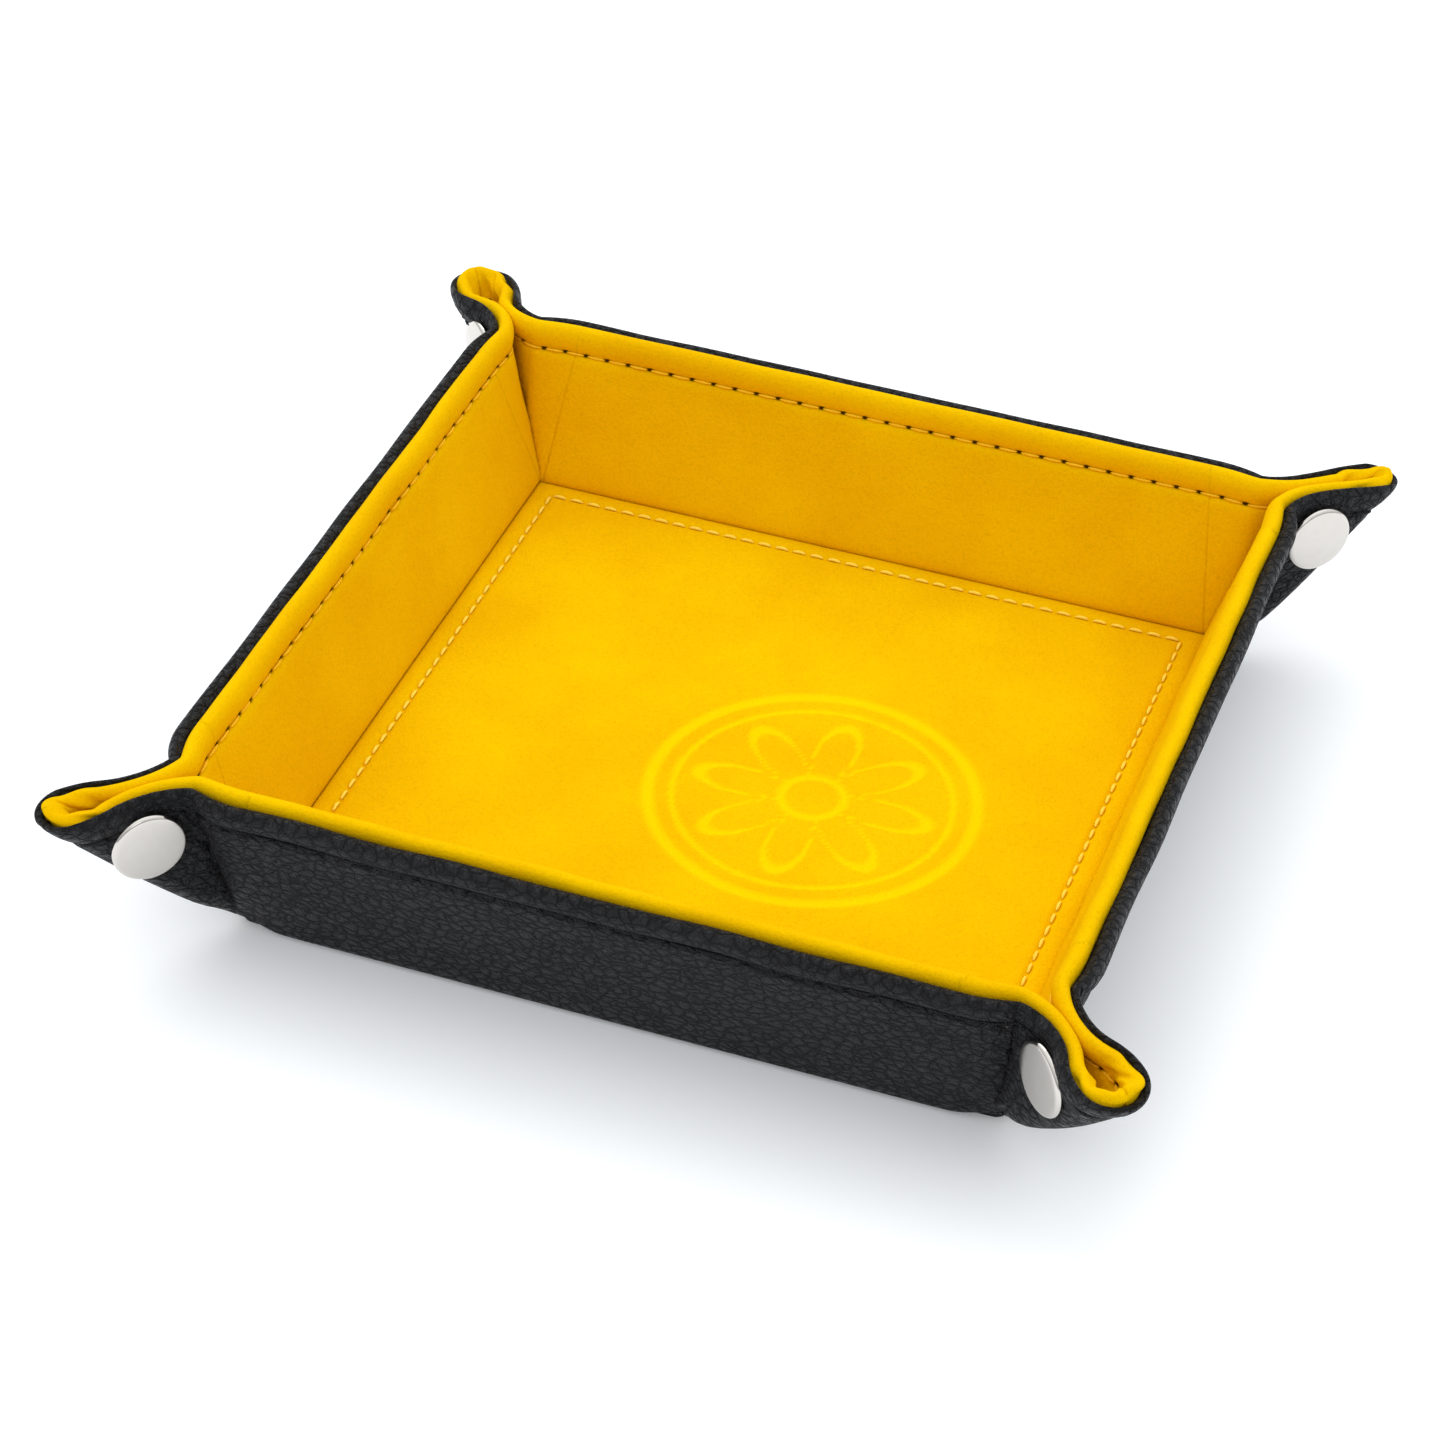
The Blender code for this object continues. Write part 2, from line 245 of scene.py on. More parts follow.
def plush_profile(face, seam, roll_s, roll_depth, roll_half, roll_height, back):
    """The plush: a tucked foot, the face, the seam's groove, the rim's roll, and the back."""
    loop = [(-0.3, -0.1), (0.45, 0.5), (1.0, 1.25), (1.6, 2.0), (2.15, 2.45), (2.9, 2.68)]
    loop = [(s, d * face / 2.8) for s, d in loop]
    loop += [(s, face) for s in FACE_ROWS]
    bulge = roll_depth + roll_half
    for s in SEAM_ROWS:
        groove = dip(s, STITCH, seam, 0.75)
        loop.append((s, face + (bulge - face) * float(smooth((s - 28.9) / 2.4)) - groove))
    loop += arc(roll_s, roll_depth, roll_half, roll_height, 19)
    loop += [(30.6, 0.05), (28.2, 0.05), (27.0, back), (18, back), (9, back), (3.2, back), (1.3, 0.7)]
    return np.array(loop)


def leather_profile(face, seam, roll_s, roll_depth, roll_half, roll_height, back):
    """The leather: the turn under the fold, the face, the groove, the rim's roll, and the back."""
    loop = [(-3 + 0.5 * k, -face) for k in range(7)] + [(1.2, -face), (2.6, -face)]
    loop += [(s, -face) for s in FACE_ROWS]
    bulge = roll_half - roll_depth
    for s in SEAM_ROWS:
        groove = dip(s, STITCH_OUT, seam, 0.7)
        loop.append((s, -face - (bulge - face) * float(smooth((s - 28.9) / 2.4)) + groove))
    loop += [(s, d) for s, d in reversed(arc(roll_s, roll_depth, roll_half, roll_height, 15))]
    loop += [(30.6, -0.05), (28.2, -0.05), (27.0, -back), (18, -back), (9, -back), (3, -back)]
    loop += [(0, -back), (-1.5, -back), (-3, -back)]
    return np.array(loop)


# (face, seam's groove, rim roll's height up the slope, depth, half width and height, back)
PLUSH_WALL = plush_profile(2.8, 0.55, 31.4, 1.5, 1.7, 2.45, 1.65)
PLUSH_EAR = plush_profile(1.9, 0.4, 31.7, 1.15, 1.4, 2.1, 0.1)
LEATHER_WALL = leather_profile(2.8, 0.6, 31.4, -1.8, 1.6, 2.5, 1.55)
LEATHER_EAR = leather_profile(1.3, 0.22, 32.0, -0.88, 0.7, 1.6, 0.1)
FACE_COUNT = 36 + len(FACE_ROWS)   # rows of a profile that show; the rest are its back


class Waves:
    """Slow random unevenness of fabric: a sum of sines along the wall and up it."""

    def __init__(self, size, shortest, longest, count=9):
        length = rng.uniform(shortest, longest, (count, 2))
        self.k = 2 * math.pi / length * rng.choice([-1, 1], (count, 2))
        self.phase = rng.uniform(0, 2 * math.pi, count)
        self.size = size / math.sqrt(count)

    def __call__(self, x, y):
        total = sum(np.sin(k[0] * x + k[1] * y + c) for k, c in zip(self.k, self.phase))
        return self.size * total


def holes(run, s, pitch, level):
    """1 at a needle hole, 0 away from it. run is the distance along the seam from the wall's end,
    which is half way between two holes."""
    steps = run / pitch - 0.5
    off = (steps - np.round(steps)) * pitch
    return np.exp(-((off / HOLE_LONG) ** 2) - ((s - level) / HOLE_TALL) ** 2)


# ---- Mesh helpers ----

def world(points, w, side):
    """Corner coordinates of wall w to the row frame, still in millimetres."""
    angle = w * math.pi / 2
    along = np.array([math.cos(angle), math.sin(angle), 0]) * side
    outward = np.array([math.sin(angle), -math.cos(angle), 0])
    return points[..., :1] * along + points[..., 1:2] * outward + points[..., 2:] * np.array([0, 0, 1.0])


def mesh_object(name, points, faces, attributes=None, materials=(), sharp=(), flip=False):
    """A mesh from points in millimetres. sharp lists the faces that stay flat."""
    if flip:
        faces = [face[::-1] for face in faces]
    mesh = bpy.data.meshes.new(name)
    mesh.from_pydata((np.asarray(points).reshape(-1, 3) * MM).tolist(), [], faces)
    mesh.shade_smooth()
    for key, values in (attributes or {}).items():
        layer = mesh.attributes.new(key, "FLOAT", "POINT")
        layer.data.foreach_set("value", np.asarray(values, np.float32).ravel())
    obj = bpy.data.objects.new(name, mesh)
    bpy.context.scene.collection.objects.link(obj)
    for made in materials:
        mesh.materials.append(made)
    for index in sharp:
        mesh.polygons[index].use_smooth = False
    return obj


def volume(points, faces):
    """Negative when the faces look inwards."""
    total = 0.0
    flat = np.asarray(points).reshape(-1, 3)
    for size in {len(face) for face in faces}:
        group = np.array([face for face in faces if len(face) == size])
        for k in range(1, size - 1):
            a, b, c = flat[group[:, 0]], flat[group[:, k]], flat[group[:, k + 1]]
            total += float((a * np.cross(b, c)).sum())
    return total / 6


def loop_faces(columns, rows):
    """Quads of a tube of closed loops, and a face at each end."""
    i, j = np.meshgrid(np.arange(columns - 1), np.arange(rows), indexing="ij")
    k = (j + 1) % rows
    quads = np.stack([i * rows + j, (i + 1) * rows + j, (i + 1) * rows + k, i * rows + k], -1)
    faces = quads.reshape(-1, 4).tolist()
    faces.append(list(range(rows)))
    faces.append([(columns - 1) * rows + r for r in range(rows)][::-1])
    return faces


def tube_object(name, grid, attributes, materials):
    faces = loop_faces(*grid.shape[:2])
    return mesh_object(
        name, grid, faces, attributes, materials, (-1, -2), flip=volume(grid, faces) < 0
    )


def strands(name, paths, normals, radius, materials, sides=8):
    """Short threads, each a closed tube along a path, in one mesh."""
    points, faces = [], []
    for path, n in zip(paths, normals):
        steps = len(path)
        tangent = np.gradient(path, axis=0)
        tangent /= np.linalg.norm(tangent, axis=1, keepdims=True)
        n = n - tangent * (n * tangent).sum(1, keepdims=True)
        n /= np.linalg.norm(n, axis=1, keepdims=True)
        b = np.cross(tangent, n)
        taper = np.sin(np.linspace(0.12, math.pi - 0.12, steps)) ** 0.35
        angle = np.linspace(0, 2 * math.pi, sides, endpoint=False)
        ring = (
            b[:, None] * np.cos(angle)[None, :, None]
            + n[:, None] * np.sin(angle)[None, :, None]
        )
        grid = path[:, None] + ring * (radius * taper)[:, None, None]
        start = sum(len(p) for p in points)
        made = loop_faces(steps, sides)
        flip = volume(grid, made) < 0
        faces += [[start + x for x in (face[::-1] if flip else face)] for face in made]
        points.append(grid.reshape(-1, 3))
    return mesh_object(name, np.concatenate(points), faces, None, materials)


# ---- Materials ----

def nodes_of(name):
    made = bpy.data.materials.new(name)
    made.use_nodes = True
    tree = made.node_tree
    shader = tree.nodes["Principled BSDF"]
    place = tree.nodes.new("ShaderNodeTexCoord").outputs["Object"]
    return made, tree, shader, place


def node(tree, kind, inputs=None, **settings):
    made = tree.nodes.new(kind)
    for key, value in settings.items():
        setattr(made, key, value)
    for key, value in (inputs or {}).items():
        if isinstance(value, bpy.types.NodeSocket):
            tree.links.new(value, made.inputs[key])
        else:
            made.inputs[key].default_value = value
    return made


def ramp(tree, value, stops):
    made = node(tree, "ShaderNodeValToRGB", {0: value})
    while len(made.color_ramp.elements) < len(stops):
        made.color_ramp.elements.new(0.5)
    for element, (position, colour) in zip(made.color_ramp.elements, stops):
        element.position = position
        element.color = (*colour, 1) if len(colour) == 3 else colour
    return made.outputs["Color"]


def mix(tree, share, a, b, blend="MIX"):
    made = node(tree, "ShaderNodeMix", data_type="RGBA", blend_type=blend)
    for index, value in ((0, share), (6, a), (7, b)):
        if isinstance(value, bpy.types.NodeSocket):
            tree.links.new(value, made.inputs[index])
        else:
            made.inputs[index].default_value = value if index == 0 else (*value, 1)
    return made.outputs[2]


def maths(tree, operation, *values):
    return node(tree, "ShaderNodeMath", dict(enumerate(values)), operation=operation).outputs[0]


def noise(tree, place, size_mm, detail=3.0, rough=0.5, distortion=0.0):
    inputs = {"Vector": place, "Scale": 1000 / size_mm, "Detail": detail}
    return node(tree, "ShaderNodeTexNoise", inputs | {"Roughness": rough, "Distortion": distortion})


def bump(tree, height, distance_mm, strength=1.0, normal_in=None):
    inputs = {"Height": height, "Distance": distance_mm * MM, "Strength": strength}
    if normal_in is not None:
        inputs["Normal"] = normal_in
    return node(tree, "ShaderNodeBump", inputs).outputs["Normal"]


def plush_material(name, deep, bright, painted_hole_shade, pressed):
    """Short pile. The needle holes get a dark colour as painted shade, and pressed is the colour of the
    ornament.
    """
    made, tree, shader, place = nodes_of(name)
    patch = noise(tree, place, 22, 3, 0.55).outputs["Fac"]
    pile = noise(tree, place, 0.55, 4, 0.7).outputs["Fac"]
    fuzz = noise(tree, place, 0.22, 2, 0.6).outputs["Fac"]
    colour = mix(tree, ramp(tree, patch, [(0.35, (0, 0, 0)), (0.65, (1, 1, 1))]), deep, bright)
    speck = ramp(tree, pile, [(0.32, (0.80, 0.78, 0.78)), (0.52, (1, 1, 1)), (0.72, (1.0, 1.0, 1.0))])
    colour = mix(tree, 0.55, colour, speck, "MULTIPLY")
    press = node(tree, "ShaderNodeAttribute", attribute_name="press").outputs["Fac"]
    colour = mix(tree, press, colour, pressed)
    # Painted shade: the needle holes are darkened in colour by the hole mask.
    hole_shade_mask = node(tree, "ShaderNodeAttribute", attribute_name="hole_shade_mask").outputs["Fac"]
    hole_shade_mask = ramp(tree, hole_shade_mask, [(0.22, (0, 0, 0)), (0.62, (1, 1, 1))])
    colour = mix(tree, hole_shade_mask, colour, painted_hole_shade)
    tree.links.new(colour, shader.inputs["Base Color"])
    height = maths(tree, "ADD", pile, maths(tree, "MULTIPLY", fuzz, 0.6))
    lumps = noise(tree, place, 5.0, 2, 0.5).outputs["Fac"]
    soft = bump(tree, lumps, 0.25, 0.6)
    tree.links.new(bump(tree, height, 0.24, 0.8, soft), shader.inputs["Normal"])
    shader.inputs["Roughness"].default_value = 0.95
    shader.inputs["Specular IOR Level"].default_value = 0.02
    shader.inputs["Sheen Weight"].default_value = 0.3
    shader.inputs["Sheen Roughness"].default_value = 0.45
    shader.inputs["Sheen Tint"].default_value = (1.0, 0.70, 0.0, 1)
    return made


def leather_material(name):
    """Large pebbles with small ones on them, drawn a little longer along the rim than up it."""
    made, tree, shader, place = nodes_of(name)
    swirl = noise(tree, place, 3.2, 3, 0.6).outputs["Color"]
    shifted = node(
        tree, "ShaderNodeVectorMath", {0: swirl, 1: (0.0019, 0.0019, 0.0019)}, operation="MULTIPLY"
    ).outputs[0]
    moved = node(tree, "ShaderNodeVectorMath", {0: place, 1: shifted}, operation="ADD").outputs[0]
    moved = node(
        tree, "ShaderNodeVectorMath", {0: moved, 1: (1.0, 1.0, 1.35)}, operation="MULTIPLY"
    ).outputs[0]
    cells = node(
        tree, "ShaderNodeTexVoronoi", {"Vector": moved, "Scale": 1000 / 2.3, "Randomness": 1.0},
        feature="DISTANCE_TO_EDGE",
    ).outputs["Distance"]
    small = node(
        tree, "ShaderNodeTexVoronoi", {"Vector": moved, "Scale": 1000 / 0.95, "Randomness": 1.0},
        feature="DISTANCE_TO_EDGE",
    ).outputs["Distance"]
    dome = ramp(tree, cells, [(0.0, (0, 0, 0)), (0.12, (0.6, 0.6, 0.6)), (0.42, (1, 1, 1))])
    pebble = ramp(tree, small, [(0.0, (0, 0, 0)), (0.12, (0.75, 0.75, 0.75)), (0.40, (1, 1, 1))])
    micro = noise(tree, place, 0.28, 3, 0.6).outputs["Fac"]
    height = maths(tree, "ADD", dome, maths(tree, "MULTIPLY", pebble, 0.38))
    height = maths(tree, "ADD", height, maths(tree, "MULTIPLY", micro, 0.16))
    tree.links.new(bump(tree, height, 0.85, 1.0), shader.inputs["Normal"])
    worn = noise(tree, place, 30, 4, 0.6).outputs["Fac"]
    # Painted shade: the colour darkens into the grain's cracks and is lightest on the cells' tops.
    colour = mix(tree, dome, (0.0010, 0.0010, 0.0012), (0.0110, 0.0112, 0.0134))
    worn = ramp(tree, worn, [(0.4, (0, 0, 0)), (0.75, (0.5, 0.5, 0.5))])
    colour = mix(tree, worn, colour, (0.012, 0.0122, 0.0138))
    # Painted shade: the needle holes are darkened in colour.
    hole_shade_mask = node(tree, "ShaderNodeAttribute", attribute_name="hole_shade_mask").outputs["Fac"]
    colour = mix(tree, hole_shade_mask, colour, (0.001, 0.001, 0.001))
    tree.links.new(colour, shader.inputs["Base Color"])
    gloss = ramp(tree, maths(tree, "MULTIPLY", micro, dome), [(0.05, (0.68,) * 3), (0.5, (0.33,) * 3)])
    tree.links.new(gloss, shader.inputs["Roughness"])
    shader.inputs["Specular IOR Level"].default_value = 0.25
    return made


def thread_material(name, low, high):
    made, tree, shader, place = nodes_of(name)
    fibre = node(
        tree, "ShaderNodeTexWave", {"Vector": place, "Scale": 900.0, "Distortion": 3.0, "Detail": 2.0},
        wave_type="BANDS", bands_direction="DIAGONAL",
    ).outputs["Fac"]
    tree.links.new(mix(tree, fibre, low, high), shader.inputs["Base Color"])
    tree.links.new(bump(tree, fibre, 0.08, 0.6), shader.inputs["Normal"])
    shader.inputs["Roughness"].default_value = 0.7
    shader.inputs["Specular IOR Level"].default_value = 0.08
    return made


def nickel_material(name, low, high, size_mm=3.0):
    made, tree, shader, place = nodes_of(name)
    haze = noise(tree, place, size_mm, 5, 0.65).outputs["Fac"]
    scratch = noise(tree, place, 0.35, 3, 0.7, 1.5).outputs["Fac"]
    tree.links.new(mix(tree, haze, low, high), shader.inputs["Base Color"])
    tree.links.new(ramp(tree, haze, [(0.3, (0.07,) * 3), (0.75, (0.17,) * 3)]), shader.inputs["Roughness"])
    tree.links.new(bump(tree, scratch, 0.01, 0.25), shader.inputs["Normal"])
    shader.inputs["Metallic"].default_value = 1.0
    return made


def board_material(name):
    made, tree, shader, place = nodes_of(name)
    pulp = noise(tree, place, 1.4, 6, 0.75, 0.6).outputs["Fac"]
    tree.links.new(mix(tree, pulp, (0.16, 0.15, 0.135), (0.36, 0.34, 0.31)), shader.inputs["Base Color"])
    tree.links.new(bump(tree, pulp, 0.1, 0.6), shader.inputs["Normal"])
    shader.inputs["Roughness"].default_value = 0.9
    return made


PLUSH = plush_material(
    "plush_yellow", (0.87, 0.485, 0.0), (0.92, 0.55, 0.0), (0.07, 0.032, 0.001), (1.0, 0.72, 0.0)
)
LEATHER = leather_material("leather_black")
YELLOW_THREAD = thread_material("thread_yellow", (0.92, 0.50, 0.006), (0.98, 0.64, 0.03))
PALE_THREAD = thread_material("thread_pale_yellow", (1.0, 0.68, 0.03), (1.0, 0.80, 0.14))
BLACK_THREAD = thread_material("thread_black", (0.006, 0.006, 0.007), (0.03, 0.03, 0.033))
NICKEL = nickel_material("nickel_polished", (0.59, 0.56, 0.52), (0.67, 0.64, 0.595))
SPRING = nickel_material("spring_bronze", (0.50, 0.36, 0.20), (0.66, 0.50, 0.31), 1.2)
BOARD = board_material("board_grey")

# ---- Walls and ears ----

def finished(obj, slot, *replaced):
    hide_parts(*replaced)
    return obj


def bend_wall(obj):
    """Bakes the wall's placement into its mesh; the wall is not bent."""
    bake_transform(obj)


def bend_ear(obj, w, side):
    """Bakes the ear's placement into its mesh. The crease's axis and a direction off it are worked out,
    but the ear is not turned.
    """
    ear = EAR_OF[w, side][0]
    joint = JOINTS[f"{ear}_crease"]
    axis = np.array(joint["axis"]) / np.linalg.norm(joint["axis"])
    way = world(np.array([math.cos(math.pi / 8), math.sin(math.pi / 8), 0]), w, side)
    way = way - axis * (way @ axis)
    way *= 0.005 / np.linalg.norm(way)
    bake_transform(obj)


def stud_seat(points, corner, w):
    """The plush of the stud's half of an ear is pressed in round its flange, so that the flange
    shows when the ear is open. Points are in corner coordinates, their second axis is the stud's."""
    stud = frame["nodes"][f"snap_{corner}_stud"]
    turned = world(np.eye(3), w, -1)  # rows: the corner's axes in the row frame
    found = np.array([stud.matrix_world @ vertex.co for vertex in stud.data.vertices]) / MM @ turned.T

    def split(at):
        p = (at[..., 0] + at[..., 1]) / math.sqrt(2)
        return p, (at[..., 1] - at[..., 0]) / math.sqrt(2), at[..., 2]

    p, q, z = split(found)
    centre_p, centre_z = (p.min() + p.max()) / 2, (z.min() + z.max()) / 2
    rim = np.hypot(p - centre_p, z - centre_z) > 3
    seat = q[rim].min() + 0.12
    p, q, z = split(points)
    near = 1 - smooth((np.hypot(p - centre_p, z - centre_z) - 4.0) / 1.6)
    push = np.maximum(seat - q, 0) * near / math.sqrt(2)
    return points + np.stack([-push, push, 0 * push], -1)


def strip(v, run, w, side, corner, plush, waves, pitch, half, sunk=0.0):
    """The grid of a strip of skin, and its needle holes. v and run (the distance along the seam from
    the wall's end) are one number per column."""
    wall, ear = (PLUSH_WALL, PLUSH_EAR) if plush else (LEATHER_WALL, LEATHER_EAR)
    v, run, sunk = v[:, None], run[:, None], np.reshape(sunk, (-1, 1))
    place = (run + half) * side + 400 * w
    turned = smooth(v / 0.7)
    s = wall[:, 0] * (1 - turned) + ear[:, 0] * turned
    s = np.where(s < 0, s * (1 - 0.3 * smooth((v + 0.14) / 0.14) - 0.45 * smooth(v / 1.5)), s)
    thin = turned * np.maximum(smooth((s - 1) / 8), smooth((v - 0.7) / 0.7))
    depth = wall[:, 1] * (1 - thin) + ear[:, 1] * thin
    if not plush:  # pressed thin round the corner's foot
        foot = 1 - smooth(s / 9)
        depth = depth * (1 - foot * (0.3 * smooth((v + 0.1) / 0.1) + 0.3 * smooth(v / 1.5)))
    seen = np.arange(s.shape[1]) < FACE_COUNT
    # hole dents the needle holes and is also the mask of their painted shade.
    hole = seen * holes(run, s, pitch, STITCH if plush else STITCH_OUT)
    uneven = waves[0](place, s) * smooth(s / 5)
    if plush:  # the plush puckers inside the ear's loop
        uneven = uneven + waves[1](place, s) * smooth((v - 1.3) / 0.5) * smooth((s - 24) / 5)
    else:  # the leather puckers where it turns into the ear
        at_waist = np.exp(-(((v - 0.55) / 0.4) ** 2)) * smooth((s - 5) / 9) * smooth((30 - s) / 4)
        uneven = uneven + waves[1](place, s) * at_waist
    depth = depth + seen * (uneven + (-HOLE_DEEP if plush else HOLE_DEEP) * hole)
    depth = depth - np.sign(depth) * sunk
    points = skin(v + 0 * s, s, depth, corner, plush)
    # The fold leaves the table a little before the corner, and the plush's foot at the tip with it.
    lifted = smooth((v - 1.0) / 0.6) if plush else smooth((v + 0.15) / 0.22)
    points[..., 2] += FOOT_LIFT * lifted * (1 - smooth(s / 7))
    if plush and side < 0 and v.max() > 1:
        points = stud_seat(points, corner, w)
    return points, hole


def wall_strip(w, plush, waves):
    """One wall's skin, from one bend to the other."""
    halves, hole_rows = [], []
    for side in (-1, 1):
        corner = EAR_OF[w, side][1]
        half = spread(corner)[0]
        stitches = round(2 * half / PITCH)
        share = np.linspace(0, 1, stitches * STEPS // 2 + 1)
        grid, hole = strip(
            share - 1, (share - 1) * half, w, side, corner, plush, waves, 2 * half / stitches, half
        )
        grid = world(grid, w, side)
        halves.append(grid[::-1] if side < 0 else grid[1:])
        hole_rows.append(hole[::-1] if side < 0 else hole[1:])
    return np.concatenate(halves), np.concatenate(hole_rows)


def thread_path(run, v, w, side, corner, plush):
    """One stitch: its points and the cloth's normals. side may be one number per point."""
    turned = smooth(v / 0.7)
    groove = (2.3 - 0.75 * turned) if plush else (2.2 - 1.25 * turned)
    rise = 0.22 * (np.sin(math.pi * run) ** 0.6 * 1.7 - 1) + 0.06
    s = np.full_like(v, STITCH if plush else STITCH_OUT)
    points = skin(v, s, (1 if plush else -1) * (groove + rise), corner, plush)
    ways = normal(v, s, corner)
    points[:, 0], ways[:, 0] = points[:, 0] * side, ways[:, 0] * side
    return world(points, w, 1), world(ways, w, 1)


def wall_seam(name, w, plush):
    corner = EAR_OF[w, 1][1]
    half = spread(corner)[0]
    stitches = round(2 * half / PITCH)
    made = []
    for k in range(stitches - 1):
        t = np.linspace(0.1, 0.9, 11)
        x = -half + (k + 0.5 + t) * 2 * half / stitches
        made.append(thread_path(t, np.abs(x) / half - 1, w, np.sign(x), corner, plush))
    return seam_object(name, made, plush)


def ear_seam(name, w, side, plush):
    """The first stitch of an ear begins on the wall."""
    corner = EAR_OF[w, side][1]
    half, ear_v, ear_run, pitch = spread(corner)
    made = []
    for k in range(round(ear_run[-1] / pitch)):
        t = np.linspace(0.1, 0.9, 11)
        run = (k - 0.5 + t) * pitch
        v = np.where(run < 0, run / half, np.interp(run, ear_run, ear_v))
        made.append(thread_path(t, v, w, side, corner, plush))
    return seam_object(name, made, plush)


def seam_object(name, made, plush):
    paths, normals = zip(*made)
    colour = YELLOW_THREAD if plush else BLACK_THREAD
    return strands(name, paths, normals, 0.24 if plush else 0.3, [colour])


for w, wall_name in enumerate(WALLS):
    uneven = {  # the slow waves of the whole skin, and the pucker where the ear folds
        "plush": (Waves(0.10, 12, 50), Waves(0.45, 4.5, 10)),
        "leather": (Waves(0.16, 14, 60), Waves(0.30, 3.5, 9)),
    }
    for kind, waves in uneven.items():
        plush = kind == "plush"
        node_kind, slot, material, seam_slot = (
            ("lining", "yellow_plush", PLUSH, "yellow_thread") if plush
            else ("leather", "black_leather", LEATHER, "black_leather")
        )
        grid, hole = wall_strip(w, plush, waves)
        obj = tube_object(f"{wall_name}_wall_{kind}", grid, {"hole_shade_mask": hole}, [material])
        finished(obj, slot, f"wall_{wall_name}_{node_kind}")
        bend_wall(obj)
        seam = wall_seam(f"{wall_name}_wall_{kind}_seam", w, plush)
        finished(seam, seam_slot, *([f"wall_{wall_name}_stitching"] if plush else []))
        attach(seam, f"wall_{wall_name}")
        for side in (-1, 1):
            ear, corner = EAR_OF[w, side]
            half, ear_v, ear_run, pitch = spread(corner)
            sunk = np.where(ear_v < 0, SUNK, 0)
            grid, hole = strip(ear_v, ear_run, w, side, corner, plush, waves, pitch, half, sunk)
            obj = tube_object(f"{ear}_{kind}_skin", world(grid, w, side), {"hole_shade_mask": hole}, [material])
            finished(obj, slot, f"{ear}_{node_kind}")
            bend_ear(obj, w, side)
            seam = ear_seam(f"{ear}_{kind}_seam", w, side, plush)
            finished(seam, seam_slot)
            bend_ear(seam, w, side)

# ---- Floor ----

def floor_rows():
    """Grid lines over the plush floor, closer together at the seam and the edge."""
    inner = np.linspace(0, 61.0, 88)
    seam = [61.5, 61.9, 62.2, 62.4, 62.6, 62.8, 63.0, 63.3, 63.7, 64.3, 65.2]
    half = np.concatenate([inner, seam, [66.0, 66.5, 66.8, 67.3, 67.85, FLOOR_EDGE]])
    return np.concatenate([-half[:0:-1], half])


def pressed_rosette(x, y):
    """A generic ornament: two rings round eight petals. 1 on its lines, 0 off them."""
    radius, angle = np.hypot(x, y), np.arctan2(y, x)

    def line(distance, width):
        return smooth(1.5 - np.abs(distance) / (width / 2))

    petals = 17.5 * np.abs(np.cos(4 * angle)) ** 0.8 + 3.5
    drawn = np.maximum(line(radius - 29.0, 2.2), line(radius - 24.8, 1.1))
    drawn = np.maximum(drawn, line((radius - petals) * 0.55, 1.4) * (radius > 6.8))
    return np.maximum(drawn, line(radius - 5.6, 1.6))


def rounded(x, y, half, radius):
    """Square grid lines pulled in so that the square's corners are round."""
    ax, ay = np.abs(x) - (half - radius), np.abs(y) - (half - radius)
    pull = np.maximum(ax, ay) / np.maximum(np.hypot(ax, ay), 1e-9)
    at_corner = (ax > 0) & (ay > 0)
    x = np.where(at_corner, np.sign(x) * (half - radius + ax * pull), x)
    y = np.where(at_corner, np.sign(y) * (half - radius + ay * pull), y)
    return x, y


def slab(x, y, top, bottom):
    """Points and faces of a thin closed slab over a square grid."""
    n = len(x)
    points = np.concatenate([
        np.stack([x, y, top], -1).reshape(-1, 3),
        np.stack([x, y, bottom], -1).reshape(-1, 3),
    ])
    i, j = np.meshgrid(np.arange(n - 1), np.arange(n - 1), indexing="ij")
    first = i * n + j
    upper = np.stack([first, first + n, first + n + 1, first + 1], -1).reshape(-1, 4)
    under = upper[:, ::-1] + n * n
    ring = [k * n for k in range(n)] + [(n - 1) * n + k for k in range(1, n)]
    ring += [(n - 1 - k) * n + n - 1 for k in range(1, n)] + [n - 1 - k for k in range(1, n - 1)]
    sides = [[a, a + n * n, b + n * n, b] for a, b in zip(ring, ring[1:] + ring[:1])]
    return points, upper.tolist() + under.tolist() + sides


rows = floor_rows()
gx, gy = np.meshgrid(rows, rows, indexing="ij")
far = np.maximum(np.abs(gx), np.abs(gy))
near_edge = np.minimum(np.abs(gx), np.abs(gy))
press = pressed_rosette(gx - MARK[0], gy - MARK[1])
floor_waves = Waves(0.10, 25, 90)
channel = np.exp(-(((far - FLOOR_STITCH) / 0.55) ** 2)) * (near_edge < FLOOR_STITCH + 1)
top = FLOOR_TOP + 0.12 * smooth((60 - far) / 12) - 0.5 * channel - 0.22 * press
top = top + floor_waves(gx, gy) * smooth((62 - far) / 10)
top = top + 0.10 * np.exp(-(((far - 64.3) / 0.9) ** 2))
EDGE_ROWS, EDGE_DROPS = [65.2, 66, 66.5, 66.8, 67.3, 67.85, FLOOR_EDGE], [0, 0.2, 0.5, 0.85, 1.6, 2.3, 3.1]
top = top - np.interp(far, EDGE_ROWS, EDGE_DROPS)
points, faces = slab(*rounded(gx, gy, FLOOR_EDGE, 2), top, np.minimum(top - 0.5, 4.25))
press_all = np.concatenate([press.ravel(), np.zeros(press.size)])
floor_plush = mesh_object(
    "floor_plush", points, faces, {"press": PRESSED * press_all}, [PLUSH], flip=volume(points, faces) < 0
)
finished(floor_plush, "yellow_plush", "base_lining")
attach(floor_plush, "base")

